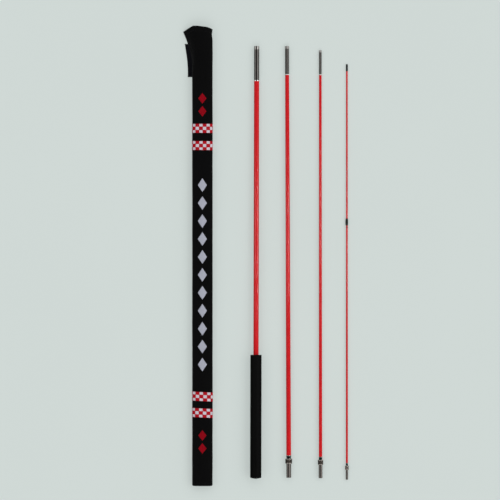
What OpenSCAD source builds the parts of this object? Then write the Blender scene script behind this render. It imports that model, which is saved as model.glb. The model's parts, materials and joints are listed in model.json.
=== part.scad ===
// Sectional hand flagpole, taken apart and laid out beside its carry bag.
// Four red glass-fibre sections plug together with metal spigots and sockets.
// All sections lie on the floor plane z = 0 with their tops towards +Y.

/* [Handle section] */
// Length of the handle section from its butt to its socket mouth
handle_l = 1038; // [800:1:1300]
// Outer diameter of the handle tube under and just above the grip
handle_base_d = 12.7; // [12:0.1:16]
// Outer diameter of the handle tube where it meets its socket
handle_top_d = 12.3; // [11.5:0.1:15]
// Bore of the hollow handle tube
handle_bore_d = 8.6; // [6:0.1:9.5]
// Length of the foam grip
grip_l = 294; // [150:1:400]
// Outer diameter of the foam grip
grip_d = 27.2; // [22:0.1:40]
// Radius of the grip's rounded ends
grip_edge_r = 0.8; // [0.5:0.1:3]
// Height of the domed cap that closes the butt
butt_cap_h = 3; // [2:0.5:12]

/* [Lower section] */
// Length of the lower section from its spigot's end to its socket mouth
lower_l = 1036; // [800:1:1300]
// Outer diameter of the lower tube above its spigot
lower_base_d = 11.6; // [10.5:0.1:14]
// Outer diameter of the lower tube where it meets its socket
lower_top_d = 9.6; // [9:0.1:12]
// Bore of the hollow lower tube
lower_bore_d = 6.4; // [4:0.1:7]
// Diameter of the lower spigot, which plugs into the handle socket
lower_spigot_d = 11.7; // [10.5:0.1:13]
// Length of the lower spigot below its collar
lower_spigot_l = 33.6; // [20:0.1:45]
// Diameter of the lower collar
lower_collar_d = 16.4; // [15:0.1:22]

/* [Upper section] */
// Length of the upper section from its spigot's end to its socket mouth
upper_l = 1027; // [800:1:1300]
// Outer diameter of the upper tube above its spigot
upper_base_d = 8.2; // [7.5:0.1:11]
// Outer diameter of the upper tube where it meets its socket
upper_top_d = 6.3; // [5.8:0.1:9]
// Bore of the hollow upper tube
upper_bore_d = 3.4; // [2:0.1:4]
// Diameter of the upper spigot, which plugs into the lower socket
upper_spigot_d = 9.1; // [8:0.1:10.5]
// Length of the upper spigot below its collar
upper_spigot_l = 32; // [20:0.1:45]
// Diameter of the upper collar
upper_collar_d = 13; // [12:0.1:18]

/* [Tip section] */
// Length of the tip section from its spigot's end to the top of its cap
tip_l = 998; // [800:1:1300]
// Diameter of the solid tip rod above its spigot
tip_base_d = 4.9; // [4.2:0.1:7]
// Diameter of the solid tip rod below its cap
tip_top_d = 3.9; // [3.6:0.1:6]
// Diameter of the tip spigot, which plugs into the upper socket
tip_spigot_d = 5.8; // [5.4:0.1:7]
// Length of the tip spigot below its collar
tip_spigot_l = 23.6; // [15:0.1:40]
// Diameter of the tip collar
tip_collar_d = 8.8; // [8:0.1:14]
// Length of the cap on the tip
tip_cap_l = 17.3; // [10:0.1:30]
// Outer diameter of the cap on the tip
tip_cap_d = 4.5; // [4.4:0.1:8]
// Length of the stop that holds the lower end of a flag
stop_l = 16.8; // [8:0.1:30]
// Largest diameter of the flag stop
stop_d = 6.6; // [6:0.1:14]
// Diameter of the flag stop at its two ends
stop_end_d = 5.2; // [5:0.1:5.9]
// How far the flag stop is thicker on one side than about its axis
stop_offset = 0.3; // [0:0.05:0.5]
// Distance from the top of the tip cap down to the flag stop
stop_drop = 371; // [150:1:600]
// Distance from the flag stop down to the ring below it
stop_ring_gap = 3.6; // [1:0.1:20]
// Height of the ring below the flag stop
stop_ring_h = 2.4; // [1:0.1:6]
// How far the ring stands proud of the rod
stop_ring_wall = 0.3; // [0.2:0.05:1]

/* [Sockets] */
// Wall of each socket around the spigot
socket_wall = 0.45; // [0.3:0.05:1]
// Radial gap between a spigot and its socket
spigot_fit = 0.05; // [0.03:0.01:0.1]
// Room left in a socket past the end of its spigot
socket_spare = 1.5; // [0.5:0.1:4]
// Thickness of the web that closes each socket
socket_web = 3; // [1:0.1:6]
// Length of the handle socket
handle_socket_l = 84; // [65:0.5:120]
// Length of the lower socket
lower_socket_l = 69.5; // [55:0.5:110]
// Length of the upper socket
upper_socket_l = 59.5; // [45:0.5:100]
// Height of the rim at the handle socket's mouth
handle_rim_h = 8; // [3:0.1:12]
// Height of the rim at the lower socket's mouth
lower_rim_h = 6.5; // [3:0.1:12]
// Height of the rim at the upper socket's mouth
upper_rim_h = 5; // [3:0.1:12]
// How far each rim stands proud of its socket
rim_step = 0.1; // [0:0.05:0.4]
// Bevel on the outer edge of each rim
rim_bevel = 0.2; // [0.1:0.05:0.4]

/* [Spigot fittings] */
// Bevel round the end of each spigot
spigot_bevel = 0.6; // [0.2:0.05:1]
// How far a collar's seat stands proud of its spigot
seat_step = 0.2; // [0.1:0.05:0.5]
// Height of the band at the foot of the lower tube
lower_band_h = 3; // [1:0.1:8]
// Height of the band at the foot of the upper tube
upper_band_h = 2.2; // [1:0.1:8]
// Height of the band at the foot of the tip rod
tip_band_h = 1.4; // [1:0.1:8]
// How far each band stands proud of its tube
band_step = 0.15; // [0.05:0.05:0.6]
// Height of the waist between a band and its collar
neck_h = 5; // [2:0.1:10]
// Depth of the waist below the spigot's surface
neck_step = 0.4; // [0.1:0.05:0.5]
// Height of the lower and upper collars
collar_h = 12; // [6:0.1:20]
// Height of the tip collar
tip_collar_h = 10; // [6:0.1:20]
// Bevel at both ends of a collar
collar_bevel = 1.2; // [0.5:0.1:1.4]
// Depth of the groove round the middle of a collar
collar_groove = 0.6; // [0.2:0.05:1]
// Wall of the cup that takes the foot of a tube
cup_wall = 0.8; // [0.5:0.05:1]
// Thickness of the floor of that cup
cup_floor = 2; // [1:0.1:4]
// How far a tube is turned down where it enters its socket or cap
peg_step = 0.5; // [0.3:0.05:0.6]
// Radial gap for the adhesive between bonded pieces
bond_gap = 0.05; // [0.02:0.01:0.1]

/* [Carry bag] */
// Length of the bag
bag_l = 1106; // [1060:1:1500]
// Width of the bag
bag_w = 50; // [40:1:90]
// Height of the bag as it lies
bag_t = 24; // [16:1:36]
// Thickness of the bag cloth with its lining
cloth_t = 1; // [0.6:0.1:2]
// Length of the slit that opens one side of the mouth
slit_l = 123; // [100:1:250]
// How far the opened front cloth reaches out past the bag's side
flap_reach = 21.9; // [8:0.1:40]
// Distance from the mouth down to the outer corner of the opened cloth
flap_corner_drop = 16.3; // [5:0.1:40]
// Distance from the mouth down to where the opened cloth meets the side
flap_foot_drop = 96; // [60:1:98]
// Length of the hook tape along the slit
hook_l = 76; // [40:1:85]
// How far the hook tape reaches out past the bag's side
hook_reach = 16; // [5:0.1:20]
// How far the tape's lower end leans back towards the side
hook_lean = 6.6; // [0:0.1:8]
// Thickness of the hook tape
hook_t = 2; // [1.2:0.1:4]
// Width of each checked ribbon
ribbon_w = 22.8; // [10:0.1:40]
// Thickness of the checked ribbon
ribbon_t = 0.5; // [0.3:0.1:1]
// Height above the floor where the ribbon ends on the bag's sides
ribbon_foot = 3; // [2:0.5:6]
// Distance between the near edges of two ribbons in a pair
ribbon_gap = 18.5; // [5:0.1:60]
// Distance from the mouth to the upper pair of ribbons
upper_ribbon_drop = 237; // [160:1:400]
// Distance from the closed end to the lower pair of ribbons
lower_ribbon_rise = 163; // [40:1:400]

/* [Layout] */
// Distance from the bag's middle line to the handle section's foot
handle_spacing = 127.4; // [80:0.1:200]
// Distance from the handle section's foot to the lower section's foot
lower_spacing = 79.4; // [40:0.1:150]
// Distance from the lower section's foot to the upper section's foot
upper_spacing = 76.2; // [40:0.1:150]
// Distance from the upper section's foot to the tip section's foot
tip_spacing = 63.3; // [40:0.1:150]
// How far the handle section's foot lies above the bag's closed end
handle_foot = 17.5; // [0:0.1:60]
// How far the lower section's foot lies above the bag's closed end
lower_foot = 19.6; // [0:0.1:60]
// How far the upper section's foot lies above the bag's closed end
upper_foot = 18.4; // [0:0.1:60]
// How far the tip section's foot lies above the bag's closed end
tip_foot = 14.6; // [0:0.1:60]
// How far the handle section is turned from the bag's direction, seen from above
handle_turn = -0.13; // [-0.5:0.01:0.5]
// How far the lower section is turned
lower_turn = 0.24; // [-0.5:0.01:0.5]
// How far the upper section is turned
upper_turn = 0.03; // [-0.5:0.01:0.5]

/* [Hidden] */
$fn = 96;

red = "#c8282a";
steel = "#8d8883";
knurled = "#5c5650";
black = "#141414";
cloth = "#101012";
ribbon = "#c9a0a6";

// A piece that is cut away reaches this far past the face it opens.
cut = 1;

// Sockets and the tube ends bonded into them
function socket_bore(spigot_d) = spigot_d + 2 * spigot_fit;
function socket_d(spigot_d) = socket_bore(spigot_d) + 2 * socket_wall;
function socket_depth(spigot_l) = spigot_l + socket_spare;
function top_peg_l(socket_l, spigot_l) = socket_l - socket_depth(spigot_l) - socket_web;
function top_peg_d(top_d) = top_d - 2 * peg_step;

// Spigot fittings and the tube ends bonded into their cups
function seat_d(spigot_d) = spigot_d + 2 * seat_step;
function neck_d(spigot_d) = spigot_d - 2 * neck_step;
function cup_d(spigot_d) = neck_d(spigot_d) - 2 * cup_wall;
function foot_peg_d(spigot_d) = cup_d(spigot_d) - 2 * bond_gap;
function cup_depth(a_collar_h) = neck_h + a_collar_h - cup_floor;
function foot_peg_l(band_h, a_collar_h) = band_h + cup_depth(a_collar_h);
function foot_h(spigot_l, a_collar_h, band_h) = spigot_l + a_collar_h + neck_h + band_h;

lower_tube_foot = foot_h(lower_spigot_l, collar_h, lower_band_h);
upper_tube_foot = foot_h(upper_spigot_l, collar_h, upper_band_h);
tip_rod_foot = foot_h(tip_spigot_l, tip_collar_h, tip_band_h);
grip_top = butt_cap_h + grip_l;

// Tip rod and what sits on it
cap_peg_l = tip_cap_l - tip_cap_d / 2;
tip_rod_l = tip_l - tip_rod_foot - tip_cap_l;
stop_z = tip_l - stop_drop - stop_l;
stop_ring_z = stop_z - stop_ring_gap - stop_ring_h;
function tip_rod_d(z) = tip_base_d + (tip_top_d - tip_base_d) * (z - tip_rod_foot) / tip_rod_l;

// Bag outline: a flattened tube with half-round sides
side_r = bag_t / 2;
panel_w = bag_w - bag_t;
flap_rise = bag_t - hook_t;
flap_slope = atan2(flap_rise, side_r + flap_reach);

// The whole layout is centred on the origin, seen from above.
layout_w = flap_reach + bag_w / 2 + handle_spacing + lower_spacing + upper_spacing + tip_spacing
    + tip_collar_d / 2;
bag_x = flap_reach + bag_w / 2 - layout_w / 2;
handle_x = bag_x + handle_spacing;
lower_x = handle_x + lower_spacing;
upper_x = lower_x + upper_spacing;
tip_x = upper_x + tip_spacing;
bag_foot_y = -bag_l / 2;

// Lays a section that stands on +Z down along +Y, leaning so that it rests on two rings.
// near and far are the height and radius of those rings, from the foot up.
// turn swings the section round its foot, as it lies on the floor.
module lay_down(x, foot, near, far, turn = 0) {
    lean = atan2(near[1] - far[1], far[0] - near[0]);
    lift = near[0] * sin(lean) + near[1] * cos(lean);
    translate([x, bag_foot_y + foot, lift]) rotate([-90 - lean, 0, turn]) children();
}

module lay_handle() {
    rim_r = socket_d(lower_spigot_d) / 2 + rim_step;
    grip_edge = [grip_top - grip_edge_r, grip_d / 2];
    lay_down(handle_x, handle_foot, grip_edge, [handle_l - rim_bevel, rim_r], handle_turn)
        children();
}

module lay_lower() {
    rim_r = socket_d(upper_spigot_d) / 2 + rim_step;
    collar_top = lower_spigot_l + collar_h - collar_bevel;
    lay_down(lower_x, lower_foot, [collar_top, lower_collar_d / 2], [lower_l - rim_bevel, rim_r], lower_turn)
        children();
}

module lay_upper() {
    rim_r = socket_d(tip_spigot_d) / 2 + rim_step;
    collar_top = upper_spigot_l + collar_h - collar_bevel;
    lay_down(upper_x, upper_foot, [collar_top, upper_collar_d / 2], [upper_l - rim_bevel, rim_r], upper_turn)
        children();
}

module lay_tip() {
    collar_top = tip_spigot_l + tip_collar_h - collar_bevel;
    lay_down(tip_x, tip_foot, [collar_top, tip_collar_d / 2], [stop_z + stop_l / 2, stop_d / 2])
        children();
}

// A pipe from z = 0 up to h.
module pipe(d, bore, h) {
    difference() {
        cylinder(d = d, h = h);
        translate([0, 0, -cut]) cylinder(d = bore, h = h + 2 * cut);
    }
}

// A tapered section with a turned-down peg at each end, from its foot shoulder at z = 0.
module tapered_blank(base_d, top_d, h, foot_d, foot_l, head_d, head_l) {
    rotate_extrude()
        polygon([
            [0, -foot_l], [foot_d / 2, -foot_l], [foot_d / 2, 0], [base_d / 2, 0],
            [top_d / 2, h], [head_d / 2, h], [head_d / 2, h + head_l], [0, h + head_l]
        ]);
}

// The same section with a bore through its whole length.
module tapered_tube(base_d, top_d, bore, h, foot_d, foot_l, head_d, head_l) {
    difference() {
        tapered_blank(base_d, top_d, h, foot_d, foot_l, head_d, head_l);
        translate([0, 0, -foot_l - cut]) cylinder(d = bore, h = foot_l + h + head_l + 2 * cut);
    }
}

// A socket sleeve without its rim. Its lower half takes a tube's peg, its upper half a spigot.
module socket_sleeve(spigot_d, spigot_l, tube_d, socket_l, rim_h) {
    peg_l = top_peg_l(socket_l, spigot_l);
    peg_bore = top_peg_d(tube_d) + 2 * bond_gap;
    difference() {
        cylinder(d = socket_d(spigot_d), h = socket_l - rim_h);
        translate([0, 0, -cut]) cylinder(d = peg_bore, h = peg_l + cut);
        translate([0, 0, peg_l + socket_web]) cylinder(d = socket_bore(spigot_d), h = socket_l);
    }
}

// The polished ring at a socket's mouth, from z = 0 up, with its outer edge bevelled.
module socket_rim(spigot_d, rim_h) {
    outer = socket_d(spigot_d) / 2 + rim_step;
    difference() {
        rotate_extrude()
            polygon([
                [0, 0], [outer, 0], [outer, rim_h - rim_bevel], [outer - rim_bevel, rim_h], [0, rim_h]
            ]);
        translate([0, 0, -cut]) cylinder(d = socket_bore(spigot_d), h = rim_h + 2 * cut);
    }
}

// The band round the peg at a tube's foot.
module tube_band(base_d, spigot_d, band_h) {
    pipe(base_d + 2 * band_step, cup_d(spigot_d), band_h);
}

// A turned fitting, from the spigot's end at z = 0: spigot, collar seat, waist and cup.
module spigot_fitting(spigot_d, spigot_l, a_collar_h) {
    seat_top = spigot_l + a_collar_h;
    top = seat_top + neck_h;
    difference() {
        rotate_extrude()
            polygon([
                [0, 0], [spigot_d / 2 - spigot_bevel, 0], [spigot_d / 2, spigot_bevel],
                [spigot_d / 2, spigot_l], [seat_d(spigot_d) / 2, spigot_l], [seat_d(spigot_d) / 2, seat_top],
                [neck_d(spigot_d) / 2, seat_top], [neck_d(spigot_d) / 2, top], [0, top]
            ]);
        translate([0, 0, top - cup_depth(a_collar_h)])
            cylinder(d = cup_d(spigot_d), h = cup_depth(a_collar_h) + cut);
    }
}

// The grip ring on a fitting: bevelled ends and a groove round the middle.
module collar(collar_d, spigot_d, h) {
    r = collar_d / 2;
    difference() {
        rotate_extrude()
            polygon([
                [0, 0], [r - collar_bevel, 0], [r, collar_bevel], [r, h / 2 - collar_groove],
                [r - collar_groove, h / 2], [r, h / 2 + collar_groove], [r, h - collar_bevel],
                [r - collar_bevel, h], [0, h]
            ]);
        translate([0, 0, -cut]) cylinder(d = seat_d(spigot_d) + 2 * bond_gap, h = h + 2 * cut);
    }
}

// Half of a round-ended profile: a square with its two outer corners rounded.
module rounded_half_profile(r, h, edge_r) {
    translate([0, edge_r]) square([r, h - 2 * edge_r]);
    square([r - edge_r, h]);
    for (y = [edge_r, h - edge_r]) translate([r - edge_r, y]) circle(edge_r);
}

// Handle section
module handle_tube() {
    peg_l = top_peg_l(handle_socket_l, lower_spigot_l);
    shoulder = handle_l - handle_socket_l;
    color(red) lay_handle() difference() {
        rotate_extrude()
            polygon([
                [0, butt_cap_h], [handle_base_d / 2, butt_cap_h], [handle_base_d / 2, grip_top],
                [handle_top_d / 2, shoulder], [top_peg_d(handle_top_d) / 2, shoulder],
                [top_peg_d(handle_top_d) / 2, shoulder + peg_l], [0, shoulder + peg_l]
            ]);
        cylinder(d = handle_bore_d, h = handle_l);
    }
}

module handle_grip() {
    color(black) lay_handle() translate([0, 0, butt_cap_h]) difference() {
        rotate_extrude() rounded_half_profile(grip_d / 2, grip_l, grip_edge_r);
        translate([0, 0, -cut]) cylinder(d = handle_base_d + 2 * bond_gap, h = grip_l + 2 * cut);
    }
}

// A shallow dome with a short straight rim, and a plug that sits in the tube.
module handle_butt_cap() {
    plug_l = handle_base_d;
    cap_r = grip_d / 2 - grip_edge_r;
    dome_h = butt_cap_h * 0.8;
    dome_r = (pow(cap_r, 2) + pow(dome_h, 2)) / (2 * dome_h);
    color(black) lay_handle() {
        rotate_extrude() intersection() {
            translate([0, dome_r]) circle(dome_r, $fn = 360);
            square([cap_r, butt_cap_h]);
        }
        translate([0, 0, butt_cap_h]) cylinder(d = handle_bore_d - 2 * bond_gap, h = plug_l);
    }
}

module handle_socket() {
    color(steel) lay_handle() translate([0, 0, handle_l - handle_socket_l])
        socket_sleeve(lower_spigot_d, lower_spigot_l, handle_top_d, handle_socket_l, handle_rim_h);
}

module handle_socket_rim() {
    color(steel) lay_handle() translate([0, 0, handle_l - handle_rim_h])
        socket_rim(lower_spigot_d, handle_rim_h);
}

// Lower section
module lower_tube() {
    tube_l = lower_l - lower_tube_foot - lower_socket_l;
    color(red) lay_lower() translate([0, 0, lower_tube_foot])
        tapered_tube(lower_base_d, lower_top_d, lower_bore_d, tube_l,
            foot_peg_d(lower_spigot_d), foot_peg_l(lower_band_h, collar_h),
            top_peg_d(lower_top_d), top_peg_l(lower_socket_l, upper_spigot_l));
}

module lower_socket() {
    color(steel) lay_lower() translate([0, 0, lower_l - lower_socket_l])
        socket_sleeve(upper_spigot_d, upper_spigot_l, lower_top_d, lower_socket_l, lower_rim_h);
}

module lower_socket_rim() {
    color(steel) lay_lower() translate([0, 0, lower_l - lower_rim_h])
        socket_rim(upper_spigot_d, lower_rim_h);
}

module lower_tube_band() {
    color(steel) lay_lower() translate([0, 0, lower_tube_foot - lower_band_h])
        tube_band(lower_base_d, lower_spigot_d, lower_band_h);
}

module lower_spigot() {
    color(steel) lay_lower() spigot_fitting(lower_spigot_d, lower_spigot_l, collar_h);
}

module lower_collar() {
    color(knurled) lay_lower() translate([0, 0, lower_spigot_l])
        collar(lower_collar_d, lower_spigot_d, collar_h);
}

// Upper section
module upper_tube() {
    tube_l = upper_l - upper_tube_foot - upper_socket_l;
    color(red) lay_upper() translate([0, 0, upper_tube_foot])
        tapered_tube(upper_base_d, upper_top_d, upper_bore_d, tube_l,
            foot_peg_d(upper_spigot_d), foot_peg_l(upper_band_h, collar_h),
            top_peg_d(upper_top_d), top_peg_l(upper_socket_l, tip_spigot_l));
}

module upper_socket() {
    color(steel) lay_upper() translate([0, 0, upper_l - upper_socket_l])
        socket_sleeve(tip_spigot_d, tip_spigot_l, upper_top_d, upper_socket_l, upper_rim_h);
}

module upper_socket_rim() {
    color(steel) lay_upper() translate([0, 0, upper_l - upper_rim_h])
        socket_rim(tip_spigot_d, upper_rim_h);
}

module upper_tube_band() {
    color(steel) lay_upper() translate([0, 0, upper_tube_foot - upper_band_h])
        tube_band(upper_base_d, upper_spigot_d, upper_band_h);
}

module upper_spigot() {
    color(steel) lay_upper() spigot_fitting(upper_spigot_d, upper_spigot_l, collar_h);
}

module upper_collar() {
    color(knurled) lay_upper() translate([0, 0, upper_spigot_l])
        collar(upper_collar_d, upper_spigot_d, collar_h);
}

// Tip section
module tip_rod() {
    color(red) lay_tip() translate([0, 0, tip_rod_foot])
        tapered_blank(tip_base_d, tip_top_d, tip_rod_l,
            foot_peg_d(tip_spigot_d), foot_peg_l(tip_band_h, tip_collar_h),
            top_peg_d(tip_top_d), cap_peg_l);
}

// A round-nosed cap over the rod's top peg.
module tip_cap() {
    r = tip_cap_d / 2;
    color(black) lay_tip() translate([0, 0, tip_l - tip_cap_l]) difference() {
        union() {
            cylinder(r = r, h = tip_cap_l - r);
            translate([0, 0, tip_cap_l - r]) sphere(r);
        }
        translate([0, 0, -cut]) cylinder(d = top_peg_d(tip_top_d) + 2 * bond_gap, h = cap_peg_l + cut);
    }
}

// A barrel-shaped bead whose bore sits a little to one side.
module flag_stop() {
    swell = (stop_d - stop_end_d) / 2;
    barrel_r = (pow(stop_l / 2, 2) + pow(swell, 2)) / (2 * swell);
    color(black) lay_tip() translate([0, 0, stop_z + stop_l / 2]) difference() {
        translate([-stop_offset, 0, 0]) rotate_extrude() intersection() {
            translate([stop_d / 2 - barrel_r, 0]) circle(barrel_r, $fn = 360);
            translate([0, -stop_l / 2]) square([stop_d, stop_l]);
        }
        translate([0, 0, -stop_l]) cylinder(d = tip_rod_d(stop_z) + 2 * bond_gap, h = 2 * stop_l);
    }
}

module flag_stop_ring() {
    bore = tip_rod_d(stop_ring_z) + 2 * bond_gap;
    color("#7a1a1c") lay_tip() translate([0, 0, stop_ring_z])
        pipe(bore + 2 * stop_ring_wall, bore, stop_ring_h);
}

module tip_rod_band() {
    color(steel) lay_tip() translate([0, 0, tip_rod_foot - tip_band_h])
        tube_band(tip_base_d, tip_spigot_d, tip_band_h);
}

module tip_spigot() {
    color(steel) lay_tip() spigot_fitting(tip_spigot_d, tip_spigot_l, tip_collar_h);
}

module tip_collar() {
    color(knurled) lay_tip() translate([0, 0, tip_spigot_l])
        collar(tip_collar_d, tip_spigot_d, tip_collar_h);
}

// Carry bag: x across the bag from its middle line, y measured up from its closed end
module in_bag_place() {
    translate([bag_x, bag_foot_y, 0]) children();
}

// A flat panel between the two half-round sides, with its underside at z.
module bag_panel(z) {
    color(cloth) in_bag_place() translate([-panel_w / 2, 0, z]) cube([panel_w, bag_l, cloth_t]);
}

// The bag's outline seen along its length, grown outwards by grow.
module bag_outline(grow) {
    translate([0, side_r]) {
        square([panel_w, bag_t + 2 * grow], center = true);
        for (s = [-1, 1]) translate([s * panel_w / 2, 0]) circle(side_r + grow);
    }
}

// Turns an outline drawn across the bag into a length of the bag, from y up.
module along_bag(y, l) {
    translate([0, y + l, 0]) rotate([90, 0, 0]) linear_extrude(l) children();
}

// A half-round side of the bag. s is 1 for the fold and -1 for the seam.
module bag_side(s, l) {
    color(cloth) in_bag_place() along_bag(0, l) translate([s * panel_w / 2, side_r]) intersection() {
        difference() {
            circle(side_r);
            circle(side_r - cloth_t);
        }
        translate([s * side_r / 2, 0]) square([side_r, bag_t], center = true);
    }
}

module bag_front_panel() {
    bag_panel(bag_t - cloth_t);
}

module bag_back_panel() {
    bag_panel(0);
}

module bag_side_fold() {
    bag_side(1, bag_l);
}

module bag_side_seam() {
    bag_side(-1, bag_l - slit_l);
}

// The panel that closes the bag's lower end, just inside the cloth.
module bag_end_panel() {
    color(cloth) in_bag_place() along_bag(0, cloth_t) bag_outline(-cloth_t);
}

// The opened front cloth beside the slit, sloping from the front panel down towards the floor.
// A sloping slab of cloth is cut to the flap's outline as seen from above.
module bag_mouth_flap() {
    flap_w = side_r + flap_reach;
    slab_h = cloth_t / cos(flap_slope);
    color(cloth) in_bag_place() translate([-panel_w / 2, 0, 0]) intersection() {
        along_bag(bag_l - flap_foot_drop, flap_foot_drop)
            polygon([
                [0, bag_t], [-flap_w, bag_t - flap_rise],
                [-flap_w, bag_t - flap_rise - slab_h], [0, bag_t - slab_h]
            ]);
        translate([0, bag_l, -cut]) linear_extrude(bag_t + 2 * cut)
            polygon([
                [0, 0], [-side_r, 0], [-flap_w, -flap_corner_drop],
                [-side_r, -flap_foot_drop], [0, -flap_foot_drop]
            ]);
    }
}

// Hook tape on the back cloth beside the slit.
module bag_hook_tape() {
    foot = bag_l - slit_l;
    reach = side_r + hook_reach;
    color(cloth) in_bag_place() translate([-panel_w / 2, foot, 0]) linear_extrude(hook_t)
        polygon([[0, 0], [-reach + hook_lean, 0], [-reach, hook_l], [0, hook_l]]);
}

// A pair of ribbons over the front and sides of the bag, the lower one starting at y.
module ribbon_pair(y) {
    color(ribbon) in_bag_place() for (i = [0, 1]) along_bag(y + i * (ribbon_w + ribbon_gap), ribbon_w)
        difference() {
            bag_outline(ribbon_t);
            bag_outline(0);
            translate([-bag_w, -bag_t]) square([2 * bag_w, bag_t + ribbon_foot]);
        }
}

module bag_upper_ribbons() {
    ribbon_pair(bag_l - upper_ribbon_drop - 2 * ribbon_w - ribbon_gap);
}

module bag_lower_ribbons() {
    ribbon_pair(lower_ribbon_rise);
}

handle_tube();
handle_grip();
handle_butt_cap();
handle_socket();
handle_socket_rim();
lower_tube();
lower_socket();
lower_socket_rim();
lower_tube_band();
lower_spigot();
lower_collar();
upper_tube();
upper_socket();
upper_socket_rim();
upper_tube_band();
upper_spigot();
upper_collar();
tip_rod();
tip_cap();
flag_stop();
flag_stop_ring();
tip_rod_band();
tip_spigot();
tip_collar();
bag_front_panel();
bag_back_panel();
bag_side_fold();
bag_side_seam();
bag_end_panel();
bag_mouth_flap();
bag_hook_tape();
bag_upper_ribbons();
bag_lower_ribbons();
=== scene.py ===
import json
import math

import bmesh
import bpy
import numpy as np
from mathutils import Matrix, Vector, noise


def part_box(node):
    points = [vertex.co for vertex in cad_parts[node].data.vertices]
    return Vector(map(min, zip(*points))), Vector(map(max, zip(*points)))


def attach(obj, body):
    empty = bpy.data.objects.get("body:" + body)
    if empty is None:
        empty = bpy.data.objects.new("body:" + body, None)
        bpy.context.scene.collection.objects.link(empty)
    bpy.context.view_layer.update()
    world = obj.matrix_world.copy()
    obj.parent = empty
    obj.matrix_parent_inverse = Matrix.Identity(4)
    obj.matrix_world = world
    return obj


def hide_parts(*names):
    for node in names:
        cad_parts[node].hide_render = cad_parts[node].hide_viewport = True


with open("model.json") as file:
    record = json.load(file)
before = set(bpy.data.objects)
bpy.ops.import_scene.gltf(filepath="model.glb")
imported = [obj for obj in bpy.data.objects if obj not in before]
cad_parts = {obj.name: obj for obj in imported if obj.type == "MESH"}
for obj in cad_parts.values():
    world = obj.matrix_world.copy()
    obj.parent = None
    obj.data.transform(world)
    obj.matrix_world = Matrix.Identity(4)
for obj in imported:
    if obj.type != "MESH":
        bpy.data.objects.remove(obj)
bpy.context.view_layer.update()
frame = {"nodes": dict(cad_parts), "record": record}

# A sectional hand flagpole laid out beside its carry bag, seen from straight above.
# Lengths are in metres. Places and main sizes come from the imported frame.
NODES = frame["nodes"]
MOUNTS = {m["name"]: m for m in frame["record"]["mounts"]}
MM = 0.001

# Colours are linear RGB.
FLOOR_COLOUR = (0.631, 0.694, 0.672)
FLOOR_GLOW = 0.6
RED = (0.600, 0.013, 0.017)
RED_DEEP = (0.540, 0.010, 0.014)
SOCKET_STEEL = (0.125, 0.118, 0.111)
BRIGHT_STEEL = (0.360, 0.345, 0.330)
SPIGOT_STEEL = (0.145, 0.130, 0.120)
COLLAR_STEEL = (0.026, 0.022, 0.019)
# Painted light: the tip collar is the same metal as the other collars, with its knurl painted lighter to
# stand in for the stronger light on its edges.
TIP_COLLAR_LIT_STEEL = (0.066, 0.055, 0.048)
COLLAR_EDGE = (0.230, 0.211, 0.192)
BLACKED_STEEL = (0.016, 0.016, 0.018)
# Painted highlight: a near-white band round each socket's foot stands in for the glint off its edge.
GLINT_STEEL = (0.850, 0.840, 0.820)
FOAM_BLACK = (0.0012, 0.0012, 0.0012)
RUBBER_BLACK = (0.0020, 0.0020, 0.0020)
STOP_GREY = (0.0080, 0.0080, 0.0072)
CLOTH_BLACK = (0.0010, 0.0010, 0.0011)
TAPE_BLACK = (0.0022, 0.0025, 0.0042)
THREAD_BLACK = (0.012, 0.012, 0.013)
RIBBON_RED = (0.400, 0.002, 0.010)
RIBBON_WHITE = (0.590, 0.560, 0.620)
RIB_SHADE = (0.020, 0.010, 0.010)
PRINT_GREY = (0.350, 0.362, 0.425)
PRINT_RED = (0.225, 0.001, 0.006)
RING_RED = (0.150, 0.008, 0.010)

# The photograph's frame: its width on the floor, and the floor point at its centre
VIEW_WIDTH = 1.2
VIEW_CENTRE = (-0.0382, 0.0130)
VIEW_HEIGHT = 10.0
SUBJECT_HEIGHT = 0.008
SENSOR_WIDTH = 36.0


# Node and mesh helpers

def add_node(tree, kind, inputs=None, **settings):
    """Adds a shader node. An input is a value, or another node's socket to link."""
    made = tree.nodes.new(kind)
    for key, value in settings.items():
        setattr(made, key, value)
    for key, value in (inputs or {}).items():
        if isinstance(value, bpy.types.NodeSocket):
            tree.links.new(value, made.inputs[key])
        else:
            made.inputs[key].default_value = value
    return made


def rgba(colour):
    return (*colour, 1.0)


def new_material(name, **constants):
    """An empty material with one Principled shader; constants go on the shader's own sockets."""
    made = bpy.data.materials.new(name)
    made.use_nodes = True
    tree = made.node_tree
    shader = tree.nodes["Principled BSDF"]
    for key, value in constants.items():
        shader.inputs[key.replace("_", " ")].default_value = value
    return made, tree, shader


def coordinates(tree, source, scale):
    """Texture coordinates stretched by scale: Object is in metres, UV as the piece was made."""
    place = add_node(tree, "ShaderNodeTexCoord")
    return add_node(tree, "ShaderNodeMapping", {"Vector": place.outputs[source], "Scale": scale}).outputs[0]


def noise_texture(tree, vector, scale, detail=3.0, roughness=0.55):
    made = add_node(tree, "ShaderNodeTexNoise",
                    {"Vector": vector, "Scale": scale, "Detail": detail, "Roughness": roughness})
    return made.outputs["Fac"]


def remap(tree, value, low, high, from_low=0.3, from_high=0.7):
    made = add_node(tree, "ShaderNodeMapRange",
                    {"Value": value, "From Min": from_low, "From Max": from_high,
                     "To Min": low, "To Max": high})
    return made.outputs["Result"]


def calculate(tree, operation, *values):
    return add_node(tree, "ShaderNodeMath", dict(enumerate(values)), operation=operation).outputs[0]


def blend_colours(tree, factor, first, second):
    made = add_node(tree, "ShaderNodeMix", {"Factor": factor}, data_type="RGBA")
    for socket, colour in ((made.inputs[6], first), (made.inputs[7], second)):
        if isinstance(colour, bpy.types.NodeSocket):
            tree.links.new(colour, socket)
        else:
            socket.default_value = rgba(colour)
    return made.outputs[2]


def add_bump(tree, shader, height, distance, strength=1.0, below=None):
    inputs = {"Height": height, "Distance": distance, "Strength": strength}
    if below is not None:
        inputs["Normal"] = below
    made = add_node(tree, "ShaderNodeBump", inputs)
    tree.links.new(made.outputs["Normal"], shader.inputs["Normal"])
    return made.outputs["Normal"]


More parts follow.
